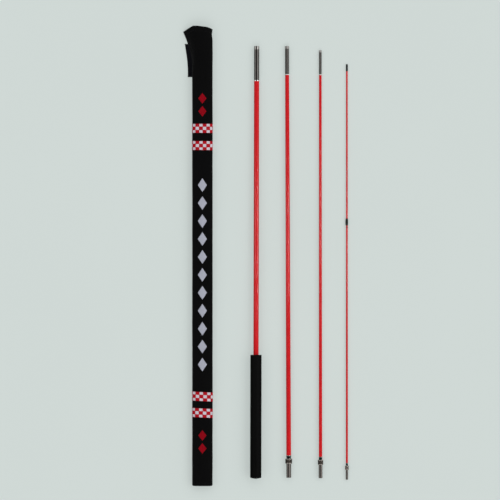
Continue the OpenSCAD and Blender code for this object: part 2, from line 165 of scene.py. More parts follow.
def add_piece(name, points, faces, material, uv=None):
    """A smooth-shaded mesh piece that rides on the part. uv has one pair for each point."""
    mesh = bpy.data.meshes.new(name)
    mesh.from_pydata([tuple(p) for p in points], [], faces)
    mesh.shade_smooth()
    if uv is not None:
        corner = np.empty(len(mesh.loops), int)
        mesh.loops.foreach_get("vertex_index", corner)
        layer = mesh.uv_layers.new(name="UVMap")
        layer.data.foreach_set("uv", np.asarray(uv, float)[corner].ravel())
    mesh.materials.append(material)
    piece = bpy.data.objects.new(name, mesh)
    bpy.context.scene.collection.objects.link(piece)
    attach(piece, "root")
    return piece


def grid_faces(rows, columns, closed=False, first=0):
    """Quads over a grid of points stored row by row; closed joins the last column to the first."""
    faces = []
    for r in range(rows - 1):
        for c in range(columns if closed else columns - 1):
            near = first + r * columns
            nxt = (c + 1) % columns
            faces.append((near + c, near + nxt, near + columns + nxt, near + columns + c))
    return faces


def weld(piece, distance=1e-6):
    """Joins points that coincide, so sewn edges and pole points become one."""
    work = bmesh.new()
    work.from_mesh(piece.data)
    bmesh.ops.remove_doubles(work, verts=work.verts, dist=distance)
    bmesh.ops.dissolve_degenerate(work, edges=work.edges, dist=distance)
    work.to_mesh(piece.data)
    work.free()


def thicken(piece, thickness, offset):
    made = piece.modifiers.new("thickness", "SOLIDIFY")
    made.thickness = thickness
    made.offset = offset


def smooth_step(value):
    t = np.clip(value, 0.0, 1.0)
    return t * t * (3 - 2 * t)


# Materials

def lacquer(name):
    """Red lacquer over glass fibre: fibre streaks along the tube under a clear coat."""
    made, tree, shader = new_material(name, Specular_IOR_Level=0.06)
    streaks = noise_texture(tree, coordinates(tree, "Object", (900, 9, 900)), 1.0, 4.0)
    clouds = noise_texture(tree, coordinates(tree, "Object", (60, 14, 60)), 1.0, 2.0)
    tone = calculate(tree, "MULTIPLY", streaks, clouds)
    colour = blend_colours(tree, remap(tree, tone, 0.0, 1.0, 0.12, 0.40), RED_DEEP, RED)
    tree.links.new(colour, shader.inputs["Base Color"])
    tree.links.new(remap(tree, clouds, 0.14, 0.19), shader.inputs["Roughness"])
    add_bump(tree, shader, streaks, 0.000008, 0.4)
    return made


def steel(name, colour, roughness, grain, zone=None):
    """Bare metal with a fine grain. grain is the coordinate stretch that sets the grain's run.
    zone is (start, end, colour): a stretch of another colour, in shares of the piece's length."""
    made, tree, shader = new_material(name, Metallic=1.0)
    lines = noise_texture(tree, coordinates(tree, "Object", grain), 1.0, 5.0, 0.65)
    stains = noise_texture(tree, coordinates(tree, "Object", (220, 120, 220)), 1.0, 3.0)
    dull = tuple(0.72 * c for c in colour)
    bright = tuple(min(1.0, 1.25 * c) for c in colour)
    worn = blend_colours(tree, remap(tree, stains, 0.0, 1.0, 0.35, 0.68), dull, colour)
    scored = blend_colours(tree, remap(tree, lines, 0.0, 0.6), worn, bright)
    if zone:
        start, end, other = zone
        middle = (start + end) / 2
        half = (end - start) / 2
        place = coordinates(tree, "Generated", (1, 1, 1))
        along = add_node(tree, "ShaderNodeSeparateXYZ", {"Vector": place}).outputs["Y"]
        away = calculate(tree, "ABSOLUTE", calculate(tree, "SUBTRACT", along, middle))
        inside = remap(tree, away, 1.0, 0.0, half * 0.9, half * 1.1)
        scored = blend_colours(tree, inside, scored, other)
    tree.links.new(scored, shader.inputs["Base Color"])
    tree.links.new(remap(tree, lines, roughness * 0.8, roughness * 1.3), shader.inputs["Roughness"])
    add_bump(tree, shader, lines, 0.00002, 0.6)
    return made


def foam(name):
    """Closed-cell foam: fine pores over a slightly uneven, matt skin."""
    made, tree, shader = new_material(name, Specular_IOR_Level=0.02)
    place = coordinates(tree, "Object", (1, 1, 1))
    pores = add_node(tree, "ShaderNodeTexVoronoi", {"Vector": place, "Scale": 900.0}).outputs["Distance"]
    patches = noise_texture(tree, place, 45.0, 3.0)
    lighter = tuple(2.2 * c for c in FOAM_BLACK)
    tree.links.new(blend_colours(tree, remap(tree, patches, 0.0, 1.0), FOAM_BLACK, lighter),
                   shader.inputs["Base Color"])
    tree.links.new(remap(tree, patches, 0.55, 0.75), shader.inputs["Roughness"])
    skin = add_bump(tree, shader, patches, 0.0003, 0.4)
    add_bump(tree, shader, pores, 0.00025, 0.7, skin)
    return made


def rubber(name, colour, roughness):
    """Moulded rubber or lacquer in one colour, with faint flow marks and handling wear."""
    made, tree, shader = new_material(name, Specular_IOR_Level=0.06)
    marks = noise_texture(tree, coordinates(tree, "Object", (500, 160, 500)), 1.0, 4.0)
    worn = tuple(1.7 * c + 0.001 for c in colour)
    mixed = blend_colours(tree, remap(tree, marks, 0.0, 1.0), colour, worn)
    tree.links.new(mixed, shader.inputs["Base Color"])
    tree.links.new(remap(tree, marks, roughness * 0.8, roughness * 1.2), shader.inputs["Roughness"])
    add_bump(tree, shader, marks, 0.00004, 0.5)
    return made


def weave_height(tree, pitch):
    """Height of a plain weave over a UV map in metres: warp and weft threads a pitch apart."""
    place = coordinates(tree, "UV", (1, 1, 1))
    threads = []
    for direction in ("X", "Y"):
        threads.append(add_node(tree, "ShaderNodeTexWave", {"Vector": place, "Scale": 0.314 / pitch,
                                "Distortion": 0.6, "Detail": 1.0, "Detail Scale": 3.0},
                                bands_direction=direction).outputs["Fac"])
    return calculate(tree, "MAXIMUM", *threads)


def cloth(name, colour, pitch, lift=1.8):
    """Woven cloth with a faint sheen; threads that stand up are painted a little lighter, a painted
    highlight on the weave's crests.
    """
    made, tree, shader = new_material(name, Specular_IOR_Level=0.02, Sheen_Weight=0.035)
    threads = weave_height(tree, pitch)
    patches = noise_texture(tree, coordinates(tree, "UV", (30, 12, 1)), 1.0, 4.0)
    tone = calculate(tree, "MULTIPLY", threads, patches)
    crest_highlight = tuple(lift * c for c in colour)
    tree.links.new(blend_colours(tree, remap(tree, tone, 0.0, 1.0, 0.1, 0.6), colour, crest_highlight),
                   shader.inputs["Base Color"])
    tree.links.new(remap(tree, patches, 0.72, 0.9), shader.inputs["Roughness"])
    add_bump(tree, shader, threads, 0.15 * pitch, 0.7)
    return made


def checked_ribbon(name):
    """Red ribbon woven with white squares. One UV unit is one square; a noise frays their edges."""
    made, tree, shader = new_material(name, Specular_IOR_Level=0.05, Sheen_Weight=0.02)
    place = coordinates(tree, "UV", (1, 1, 1))
    wobble = add_node(tree, "ShaderNodeTexNoise", {"Vector": place, "Scale": 14.0, "Detail": 2.0})
    centred = add_node(tree, "ShaderNodeVectorMath", {0: wobble.outputs["Color"], 1: (0.5, 0.5, 0.5)},
                       operation="SUBTRACT").outputs[0]
    frayed = add_node(tree, "ShaderNodeVectorMath", {0: centred, 1: (0.10, 0.10, 0.0), 2: place},
                      operation="MULTIPLY_ADD").outputs[0]
    every_other = add_node(tree, "ShaderNodeTexChecker", {"Vector": frayed, "Scale": 1.0}).outputs["Fac"]
    parts = add_node(tree, "ShaderNodeSeparateXYZ", {"Vector": frayed})
    from_edge = [calculate(tree, "PINGPONG", parts.outputs[axis], 0.5) for axis in ("X", "Y")]
    bordered = remap(tree, calculate(tree, "MINIMUM", *from_edge), 0.0, 1.0, 0.04, 0.07)
    white = calculate(tree, "MULTIPLY", every_other, bordered)
    squares = blend_colours(tree, white, RIBBON_RED, RIBBON_WHITE)
    ribs = add_node(tree, "ShaderNodeTexWave", {"Vector": place, "Scale": 3.2, "Distortion": 0.5},
                    bands_direction="Y").outputs["Fac"]
    shaded = blend_colours(tree, remap(tree, ribs, 0.10, 0.0, 0.0, 1.0), squares, RIB_SHADE)
    tree.links.new(shaded, shader.inputs["Base Color"])
    tree.links.new(remap(tree, ribs, 0.75, 0.6, 0.0, 1.0), shader.inputs["Roughness"])
    add_bump(tree, shader, ribs, 0.00012, 0.6)
    return made


def hook_tape(name):
    """Hook tape: rows of tiny stiff hooks on a dark band."""
    made, tree, shader = new_material(name, Specular_IOR_Level=0.05)
    place = coordinates(tree, "UV", (1, 1, 1))
    hooks = add_node(tree, "ShaderNodeTexVoronoi", {"Vector": place, "Scale": 750.0, "Randomness": 0.35})
    height = remap(tree, hooks.outputs["Distance"], 1.0, 0.0, 0.1, 0.5)
    # Painted highlight: the hook tops are painted lighter than the band between them.
    lighter = tuple(2.0 * c for c in TAPE_BLACK)
    tree.links.new(blend_colours(tree, height, TAPE_BLACK, lighter), shader.inputs["Base Color"])
    tree.links.new(remap(tree, height, 0.8, 0.45, 0.0, 1.0), shader.inputs["Roughness"])
    add_bump(tree, shader, height, 0.0006, 0.8)
    return made


def floor_paper(name):
    """Plain pale studio paper. To the camera and in mirrors it partly glows, which keeps shadows light."""
    made, tree, shader = new_material(name, Roughness=0.9, Specular_IOR_Level=0.0)
    mottle = noise_texture(tree, coordinates(tree, "Object", (1, 1, 1)), 3.0, 2.0)
    shade = tuple(0.992 * c for c in FLOOR_COLOUR)
    colour = blend_colours(tree, remap(tree, mottle, 0.0, 1.0), shade, FLOOR_COLOUR)
    tree.links.new(colour, shader.inputs["Base Color"])
    ray = add_node(tree, "ShaderNodeLightPath").outputs
    seen = calculate(tree, "MAXIMUM", ray["Is Camera Ray"], ray["Is Glossy Ray"])
    seen = calculate(tree, "MAXIMUM", seen, ray["Is Transmission Ray"])
    share = calculate(tree, "MULTIPLY", seen, FLOOR_GLOW)
    glow = add_node(tree, "ShaderNodeEmission", {"Color": colour, "Strength": 1.0})
    both = add_node(tree, "ShaderNodeMixShader", {0: share, 1: shader.outputs[0], 2: glow.outputs[0]})
    tree.links.new(both.outputs[0], tree.nodes["Material Output"].inputs["Surface"])
    return made


# The run of each metal's grain, and the stretches of another colour in shares of a piece's length
SOCKET_GRAIN = (2600, 30, 2600)
SPIGOT_GRAIN = (2600, 40, 2600)
TURNED_GRAIN = (60, 2600, 60)
EVEN_GRAIN = (900, 900, 900)
# Painted highlight at each socket's foot: a near-white band in place of the glint off its edge.
GLINT_FOOT = (-0.03, 0.028, GLINT_STEEL)
BLACKED_FOOT = (-0.1, 0.5, BLACKED_STEEL)
BLACKED_NECK = (0.80, 1.1, BLACKED_STEEL)
KNURLED = (0.13, 0.87)

LACQUER = lacquer("red_lacquer")
SOCKET_METAL = steel("socket_metal", SOCKET_STEEL, 0.11, SOCKET_GRAIN, GLINT_FOOT)
BRIGHT_METAL = steel("bright_metal", BRIGHT_STEEL, 0.14, TURNED_GRAIN)
BAND_METAL = steel("band_metal", BRIGHT_STEEL, 0.14, TURNED_GRAIN, BLACKED_FOOT)
SPIGOT_METAL = steel("spigot_metal", SPIGOT_STEEL, 0.20, SPIGOT_GRAIN, BLACKED_NECK)
COLLAR_METAL = steel("collar_metal", COLLAR_EDGE, 0.44, EVEN_GRAIN, (*KNURLED, COLLAR_STEEL))
# The tip collar's knurl is painted lighter than the other collars': painted light for the small collar's
# brighter edge lighting.
LIT_TIP_COLLAR_METAL = steel("tip_collar_lit_metal", COLLAR_EDGE, 0.44, EVEN_GRAIN, (*KNURLED, TIP_COLLAR_LIT_STEEL))
GRIP_FOAM = foam("grip_foam")
BLACK_RUBBER = rubber("black_rubber", RUBBER_BLACK, 0.45)
STOP_RUBBER = rubber("stop_rubber", STOP_GREY, 0.50)
DARK_RING = rubber("dark_red_ring", RING_RED, 0.35)
BAG_CLOTH = cloth("bag_cloth", CLOTH_BLACK, 0.0009)
THREAD = cloth("thread", THREAD_BLACK, 0.0004)
PRINT = cloth("grey_print", PRINT_GREY, 0.0009, 1.12)
PRINT_ACCENT = cloth("red_print", PRINT_RED, 0.0009, 1.15)
RIBBON = checked_ribbon("checked_ribbon")
TAPE = hook_tape("hook_tape")


# Stage: camera, floor and soft light

def make_camera():
    data = bpy.data.cameras.new("camera")
    data.sensor_width = SENSOR_WIDTH
    data.lens = SENSOR_WIDTH * (VIEW_HEIGHT - SUBJECT_HEIGHT) / VIEW_WIDTH
    data.clip_end = 100.0
    camera = bpy.data.objects.new("camera", data)
    camera.location = (*VIEW_CENTRE, VIEW_HEIGHT)
    bpy.context.scene.collection.objects.link(camera)
    bpy.context.scene.camera = camera


def make_floor(half=12.0):
    mesh = bpy.data.meshes.new("floor")
    corners = [(-half, -half, 0), (half, -half, 0), (half, half, 0), (-half, half, 0)]
    mesh.from_pydata(corners, [], [(0, 1, 2, 3)])
    mesh.materials.append(floor_paper("floor_paper"))
    floor = bpy.data.objects.new("floor", mesh)
    bpy.context.scene.collection.objects.link(floor)


def make_world():
    """A studio dome: soft walls of light all round, brighter on the right, with a dark top."""
    world = bpy.data.worlds.new("studio")
    bpy.context.scene.world = world
    world.use_nodes = True
    tree = world.node_tree
    way = add_node(tree, "ShaderNodeTexCoord").outputs["Generated"]
    parts = add_node(tree, "ShaderNodeSeparateXYZ", {"Vector": way})
    ramp = add_node(tree, "ShaderNodeValToRGB", {"Fac": parts.outputs["Z"]})
    stops = ((0.0, 0.28), (0.35, 0.42), (0.52, 1.62), (0.80, 1.74), (0.90, 0.14), (1.0, 0.05))
    while len(ramp.color_ramp.elements) < len(stops):
        ramp.color_ramp.elements.new(0.5)
    for element, (height, level) in zip(ramp.color_ramp.elements, stops):
        element.position = height
        element.color = (level, level, level, 1)
    side = remap(tree, parts.outputs["X"], 0.60, 1.40, -1.0, 1.0)
    shine = tree.nodes["Background"]
    tree.links.new(ramp.outputs["Color"], shine.inputs["Color"])
    tree.links.new(side, shine.inputs["Strength"])


SOFTBOX_WIDTH = 0.2
SOFTBOX_LENGTH = 0.34
SOFTBOX_REACH = 1.1
SOFTBOX_Y = 0.08


def make_gloss_lamp(name, side, watts):
    """A small softbox that shows only as a gloss on lacquer and metal, not on the floor."""
    place = (side * SOFTBOX_REACH, SOFTBOX_Y, SOFTBOX_REACH)
    data = bpy.data.lights.new(name, "AREA")
    data.shape = "RECTANGLE"
    data.size = SOFTBOX_WIDTH
    data.size_y = SOFTBOX_LENGTH
    data.energy = watts
    lamp = bpy.data.objects.new(name, data)
    lamp.location = place
    lamp.rotation_euler = (0, math.atan2(place[0], place[2]), 0)
    lamp.visible_diffuse = False
    lamp.visible_camera = False
    bpy.context.scene.collection.objects.link(lamp)


bpy.context.scene.view_settings.view_transform = "Standard"
make_camera()
make_floor()
make_world()
make_gloss_lamp("left_softbox", -1, 19.0)
make_gloss_lamp("right_softbox", 1, 34.0)


# Pole sections

SECTIONS = {
    "handle": MOUNTS["grip_outside"],
    "lower": MOUNTS["lower_spigot_pin"],
    "upper": MOUNTS["upper_spigot_pin"],
    "tip": MOUNTS["tip_spigot_pin"],
}


def turned_place(section, node):
    """Foot centre, direction, length and radius of a turned piece, from its box and its section's axis."""
    up = -Vector(SECTIONS[section]["axis"])
    low, high = (Vector(corner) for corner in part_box(node))
    shares = [[abs(part), 2 * math.sqrt(1 - part ** 2)] for part in up[:2]]
    length, radius = (float(v) for v in np.linalg.solve(shares, (high - low)[:2]))
    return (low + high) / 2 - up * (length / 2), up, length, radius


def turned_piece(name, place, up, rings, sides, material, radius_at=None):
    """A closed ring of turned surface. rings are (height, radius); radius_at adds surface detail."""
    level = up.cross(Vector((1, 0, 0))).normalized()
    across = level.cross(up)
    points = []
    for height, radius in rings:
        for k in range(sides):
            turn = 2 * math.pi * k / sides
            r = radius if radius_at is None else radius_at(height, turn, radius)
            spoke = across * math.cos(turn) + level * math.sin(turn)
            points.append(place + up * height + spoke * r)
    return add_piece(name, points, grid_faces(len(rings), sides, closed=True), material)


def triangle_wave(value):
    """A wave from 0 to 1 and back over each whole step of value."""
    return abs(2 * (value - math.floor(value)) - 1)


KNURL_PITCH = 1.25 * MM
KNURL_DEPTH = 0.40 * MM
COLLAR_BEVEL = 0.4 * MM
COLLAR_RIM = 1.4 * MM
COLLAR_GROOVE = 0.5 * MM
COLLAR_WALL = 1.9 * MM
TIP_COLLAR_BORE = 0.72
KNURL_SLANT = 1.6
SIDES_PER_TOOTH = 6


def knurled_collar(section, node, material):
    """The collar with bevelled ends, a groove round its middle and two bands of diamond knurl."""
    place, up, length, radius = turned_place(section, node)
    teeth = round(2 * math.pi * radius / KNURL_PITCH)
    sides = teeth * SIDES_PER_TOOTH
    middle = length / 2

    def outline(height):
        from_end = min(height, length - height)
        from_groove = abs(height - middle)
        bevel = max(0.0, COLLAR_BEVEL - from_end)
        groove = max(0.0, COLLAR_GROOVE - from_groove)
        return radius - bevel - groove

    def knurl(height, turn, r):
        in_rim = min(height, length - height) < COLLAR_RIM
        in_groove = abs(height - middle) < COLLAR_GROOVE
        if in_rim or in_groove:
            return r
        around = teeth * turn / (2 * math.pi)
        along = (height - middle) / (KNURL_PITCH * KNURL_SLANT)
        peak = min(triangle_wave(around + along), triangle_wave(around - along))
        return r - KNURL_DEPTH * (1 - peak)

    steps = 60
    heights = sorted({length * i / steps for i in range(steps + 1)}
                     | {COLLAR_BEVEL, length - COLLAR_BEVEL, COLLAR_RIM, length - COLLAR_RIM,
                        middle, middle - COLLAR_GROOVE, middle + COLLAR_GROOVE})
    bore = radius * TIP_COLLAR_BORE if section == "tip" else radius - COLLAR_WALL
    rings = [(0.0, bore)] + [(h, outline(h)) for h in heights] + [(length, bore)]
    piece = turned_piece(node + "_knurled", place, up, rings, sides, material, knurl)
    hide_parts(node)


GRIP_EDGE = 0.8 * MM
GRIP_UNEVEN = 0.12 * MM
GRIP_SPANS = 90
GRIP_SIDES = 96


def foam_grip():
    """The grip's skin: rounded ends and the slight unevenness of moulded foam."""
    place, up, length, radius = turned_place("handle", "handle_grip")
    bore = turned_place("handle", "handle_socket")[3]
    quarter = [i * math.pi / 12 for i in range(7)]
    corner = [(GRIP_EDGE * (1 - math.cos(a)), radius - GRIP_EDGE * (1 - math.sin(a))) for a in quarter]
    straight = length - 2 * GRIP_EDGE
    rings = [(0.0, bore)] + corner
    rings += [(GRIP_EDGE + straight * i / GRIP_SPANS, radius) for i in range(1, GRIP_SPANS)]
    rings += [(length - height, r) for height, r in reversed(corner)]
    rings += [(length, bore)]

    def uneven(height, turn, r):
        spot = Vector((height * 60, math.cos(turn) * 1.5, math.sin(turn) * 1.5))
        return r - GRIP_UNEVEN * (1 + noise.noise(spot))

    piece = turned_piece("grip_foam", place, up, rings, GRIP_SIDES, GRIP_FOAM, uneven)
    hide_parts("handle_grip")


def paint_nodes(material, *names):
    for name in names:
        NODES[name].data.materials[0] = material


knurled_collar("lower", "lower_collar", COLLAR_METAL)
knurled_collar("upper", "upper_collar", COLLAR_METAL)
knurled_collar("tip", "tip_collar", LIT_TIP_COLLAR_METAL)
foam_grip()
paint_nodes(LACQUER, "handle_tube", "lower_tube", "upper_tube", "tip_rod")
paint_nodes(SOCKET_METAL, "handle_socket", "lower_socket", "upper_socket")
paint_nodes(BRIGHT_METAL, "handle_socket_rim", "lower_socket_rim", "upper_socket_rim")
paint_nodes(BAND_METAL, "lower_tube_band", "upper_tube_band", "tip_rod_band")
paint_nodes(SPIGOT_METAL, "lower_spigot", "upper_spigot", "tip_spigot")
paint_nodes(BLACK_RUBBER, "handle_butt_cap", "tip_cap")
paint_nodes(STOP_RUBBER, "flag_stop")
paint_nodes(DARK_RING, "flag_stop_ring")


# Carry bag: a lofted sleeve of cloth, slit along one side at the mouth

FOLD_LOW, FOLD_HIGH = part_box("bag_side_fold")
SEAM_LOW, SEAM_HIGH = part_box("bag_side_seam")
FLAP_LOW, FLAP_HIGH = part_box("bag_mouth_flap")
TAPE_LOW, TAPE_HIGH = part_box("bag_hook_tape")
FOLD_DRAW = 0.9 * MM
BAG_X = (SEAM_LOW[0] + FOLD_HIGH[0] - FOLD_DRAW) / 2
BAG_Y = FOLD_LOW[1]
BAG_LENGTH = FOLD_HIGH[1] - FOLD_LOW[1]
BAG_HALF = (FOLD_HIGH[0] - FOLD_DRAW - SEAM_LOW[0]) / 2
BAG_HEIGHT = FOLD_HIGH[2]
PANEL_HALF = FOLD_LOW[0] - FOLD_DRAW - BAG_X
SLIT_LENGTH = FOLD_HIGH[1] - SEAM_HIGH[1]
FLAP_REACH = SEAM_LOW[0] - FLAP_LOW[0]
FLAP_FOOT = FLAP_HIGH[1] - FLAP_LOW[1]
FLAP_CORNER = 16.3 * MM
MOUTH_FALL = 2.3 * MM
MOUTH_SLANT = 0.125
MOUTH_CURL = 3.5 * MM
BACK_FALL = 11.0 * MM
WIDEST_HEIGHT = 0.43 * BAG_HEIGHT
CLOTH_THICK = 1.0 * MM
END_ROUND = 3.0 * MM
HEM_WIDTH = 12.0 * MM
HEM_LIFT = 0.35 * MM
PINCH_DEPTH = 1.7 * MM
PINCH_BELOW = 22 * MM
PINCH_WIDTH = 10 * MM
WRINKLE = 0.30 * MM
MOUTH_WRINKLE = 0.55 * MM
SAG = 0.9 * MM


def section_table(count=1600):
    """The sleeve's section from the side seam over the top and back: arc share, place and normal."""
    turn = np.linspace(math.pi, -math.pi, count)
    cosine, sine = np.cos(turn), np.sin(turn)
    power = np.where(sine >= 0, 2 / 2.6, 2 / 3.6)
    x = BAG_HALF * np.sign(cosine) * np.abs(cosine) ** power
    rise = np.where(sine >= 0, BAG_HEIGHT - WIDEST_HEIGHT, WIDEST_HEIGHT)
    z = WIDEST_HEIGHT + rise * np.sign(sine) * np.abs(sine) ** power
    steps = np.hypot(np.diff(x), np.diff(z))
    arc = np.concatenate([[0], np.cumsum(steps)])
    tangent_x, tangent_z = np.gradient(x), np.gradient(z)
    size = np.maximum(np.hypot(tangent_x, tangent_z), 1e-12)
    return arc, x, z, -tangent_z / size, tangent_x / size


ARC, SECTION_X, SECTION_Z, NORMAL_X, NORMAL_Z = section_table()
GIRTH = float(ARC[-1])
TOP_HALF = SECTION_Z >= WIDEST_HEIGHT
CROWN_ARC = float(np.interp(0.0, SECTION_X[TOP_HALF], ARC[TOP_HALF]))
FRONT_EDGE_ARC = float(np.interp(-PANEL_HALF, SECTION_X[TOP_HALF], ARC[TOP_HALF]))
BACK_EDGE_ARC = float(np.interp(PANEL_HALF, -SECTION_X[~TOP_HALF], ARC[~TOP_HALF]))


def mouth_drop(arc):
    """How far the mouth's edge lies below the bag's top, at a place round the sleeve."""
    share = np.clip(arc / FRONT_EDGE_ARC, 0, 1)
    flap_x = BAG_HALF + FLAP_REACH - share * (BAG_HALF + FLAP_REACH - PANEL_HALF)
    straight = 0.92 * BAG_HALF
    to_corner = np.clip((flap_x - straight) / (BAG_HALF + FLAP_REACH - straight), 0, 1)
    left = (FLAP_CORNER - MOUTH_FALL) * to_corner
    x = np.interp(arc, ARC, SECTION_X)
    slant = MOUTH_SLANT * np.clip(x + PANEL_HALF, 0, None)
    right = slant + MOUTH_CURL * np.clip((x / BAG_HALF - 0.32) / 0.65, 0, None) ** 1.8
    past_fold = smooth_step((arc - CROWN_ARC - BAG_HALF) / BAG_HALF)
    front = MOUTH_FALL + np.where(arc < FRONT_EDGE_ARC, left, right)
    return front * (1 - past_fold) + BACK_FALL * past_fold


def wrinkle(x, y, z):
    """Broad folds with finer ones on them, about -1 to 1."""
    broad = noise.noise(Vector((x * 45, y * 16, z * 45)))
    fine = noise.noise(Vector((x * 110, y * 45, z * 110)))
    return broad + 0.5 * fine


def bag_surface(arc, y, lift=0.0):
    """Points on the sleeve. arc runs round it from the front's slit edge, y up from the closed end."""
    arc, y = np.broadcast_arrays(np.asarray(arc, float), np.asarray(y, float))
    wrapped = np.mod(arc, GIRTH)
    round_at = np.where((arc < 0) | (arc > GIRTH), wrapped, arc)
    x = np.interp(round_at, ARC, SECTION_X)
    z = np.interp(round_at, ARC, SECTION_Z)
    out_x = np.interp(round_at, ARC, NORMAL_X)
    out_z = np.interp(round_at, ARC, NORMAL_Z)
    below = BAG_LENGTH - y

    # Rounded corners at the closed end
    from_end = np.clip(END_ROUND - y, 0, END_ROUND)
    inset = END_ROUND - np.sqrt(np.maximum(END_ROUND ** 2 - from_end ** 2, 0))
    x = x * (1 - inset / BAG_HALF)
    z = WIDEST_HEIGHT + (z - WIDEST_HEIGHT) * (1 - inset / (BAG_HEIGHT / 2))

    # The slit: the front cloth falls open to the left, the back cloth lies flat
    opened = smooth_step((SLIT_LENGTH - below) / (0.55 * SLIT_LENGTH))
    flare = np.clip((FLAP_FOOT - below) / (FLAP_FOOT - FLAP_CORNER), 0, 1) ** 1.62
    edge_x = -BAG_HALF - FLAP_REACH * flare
    edge_z = 1.6 * MM
    share = np.clip(round_at / FRONT_EDGE_ARC, 0, 1)
    panel_z = float(np.interp(FRONT_EDGE_ARC, ARC, SECTION_Z))
    drape_x = edge_x + (-PANEL_HALF - edge_x) * share
    drape_z = edge_z + (panel_z - edge_z) * np.sin(share * math.pi / 2) ** 0.9
    on_flap = np.where(round_at < FRONT_EDGE_ARC, opened, 0.0)
    x = x + (drape_x - x) * on_flap
    z = z + (drape_z - z) * on_flap
    back = np.clip((GIRTH - round_at) / (GIRTH - BACK_EDGE_ARC), 0, 1)
    on_back = np.where(round_at > BACK_EDGE_ARC, opened, 0.0)
    x = x + (-BAG_HALF + (BAG_HALF - PANEL_HALF) * back - x) * on_back
    z = z + (0.3 * MM * (1 - back) - z) * on_back

    # The fold is drawn in a little just below the hem
    pinch = PINCH_DEPTH * np.exp(-((below - PINCH_BELOW) / PINCH_WIDTH) ** 2)
    x = x - pinch * smooth_step((x - PANEL_HALF) / (BAG_HALF - PANEL_HALF))

    # Soft wrinkles, livelier at the mouth and none where the cloth lies on the floor
    lively = WRINKLE + MOUTH_WRINKLE * smooth_step((1.6 * SLIT_LENGTH - below) / SLIT_LENGTH)
    places = zip(x.ravel(), y.ravel(), z.ravel())
    waves = np.array([wrinkle(*place) for place in places]).reshape(x.shape)
    sag = SAG * np.sin(y * 19.0 + 0.6) * np.cos(y * 7.3)
    free = smooth_step((z - 1.5 * MM) / (8 * MM))
    push = lively * waves * free + lift
    hem_y = BAG_LENGTH - mouth_drop(round_at) - HEM_WIDTH
    push = push + HEM_LIFT * smooth_step((y - hem_y) / (1.5 * MM)) * free
    x = x + out_x * push
    z = np.maximum(z + out_z * push - (SAG - sag) * free * np.clip(z / BAG_HEIGHT, 0, 1), 0.0)
    return np.stack([BAG_X + x, BAG_Y + y, z], axis=-1)


def bag_sleeve():
    """The sleeve with its end panel, as one welded shell of cloth."""
    columns = 121
    arc = np.linspace(0, GIRTH, columns)
    top = BAG_LENGTH - mouth_drop(arc)
    low_rows = END_ROUND * (1 - np.cos(np.linspace(0, math.pi / 2, 6)))
    body_rows = np.linspace(END_ROUND, BAG_LENGTH - 1.5 * SLIT_LENGTH, 170)[1:]
    mouth_rows = np.linspace(BAG_LENGTH - 1.5 * SLIT_LENGTH, BAG_LENGTH, 62)[1:]
    rows = np.concatenate([low_rows, body_rows, mouth_rows])
    y = rows[:, None] / BAG_LENGTH * top[None, :]
    shell = bag_surface(arc[None, :], y)
    rim = shell[0]
    centre = np.array([BAG_X, BAG_Y, WIDEST_HEIGHT])
    panel = []
    for share in np.linspace(0.0, 0.96, 9):
        ring = centre + (rim - centre) * share
        ring[:, 1] = BAG_Y - 0.6 * MM * (1 - share ** 2) + 0.6 * MM
        panel.append(ring)
    points = np.concatenate([np.stack(panel), shell])
    uv = np.stack(np.broadcast_arrays(arc[None, :], points[..., 1]), axis=-1)
    piece = add_piece("bag_sleeve", points.reshape(-1, 3), grid_faces(len(points), columns), BAG_CLOTH,
                      uv.reshape(-1, 2))
    weld(piece)
    thicken(piece, CLOTH_THICK, -1)
    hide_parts("bag_front_panel", "bag_back_panel", "bag_side_fold", "bag_side_seam",
                "bag_end_panel", "bag_mouth_flap")
    return piece


UPPER_SQUARE = 8.7 * MM
LOWER_SQUARE = 9.15 * MM
RIBBON_WIDTH = 22.8 * MM
RIBBON_ROWS = (6.9 * MM, 8.1 * MM, 6.9 * MM)
RIBBON_THICK = 0.45 * MM
RIBBON_FOOT = 3.0 * MM


def side_arc(left):
    """Where the ribbon ends on one side of the sleeve, low on its half-round."""
    lower = ~TOP_HALF
    half = lower & ((SECTION_X < 0) if left else (SECTION_X > 0))
    order = np.argsort(SECTION_Z[half])
    found = float(np.interp(RIBBON_FOOT, SECTION_Z[half][order], ARC[half][order]))
    return found - GIRTH if left else found


def ribbon(name, node, middle_y, square, offset, slope):
    """One checked ribbon over the front and sides. offset shifts its squares, slope tilts it."""
    start, end = side_arc(True), side_arc(False)
    width = sum(RIBBON_ROWS)
    arc = np.linspace(start, end, 90)
    edges = np.concatenate([[0], np.cumsum(RIBBON_ROWS)])
    down = np.concatenate([np.linspace(edges[i], edges[i + 1], 4)[:-1] for i in range(3)] + [[width]])
    from_crown = arc - CROWN_ARC
    tilt = slope * np.clip(from_crown, -BAG_HALF, BAG_HALF)
    y = (middle_y - BAG_Y) + width / 2 - down[:, None] + tilt[None, :]
    points = bag_surface(arc[None, :], y, 0.05 * MM)[::-1]
    squares = (from_crown - offset) / square
    row = np.interp(down, edges, range(4))
    uv = np.stack(np.broadcast_arrays(squares[None, :], row[::-1, None]), axis=-1)
    piece = add_piece(name, points.reshape(-1, 3), grid_faces(len(down), len(arc)), RIBBON,
                      uv.reshape(-1, 2))
    thicken(piece, RIBBON_THICK, 1)
    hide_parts(node)
    return piece


def ribbon_middles(node):
    """Middle lines of the two ribbons in a pair, upper one first."""
    low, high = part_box(node)
    return high[1] - RIBBON_WIDTH / 2, low[1] + RIBBON_WIDTH / 2


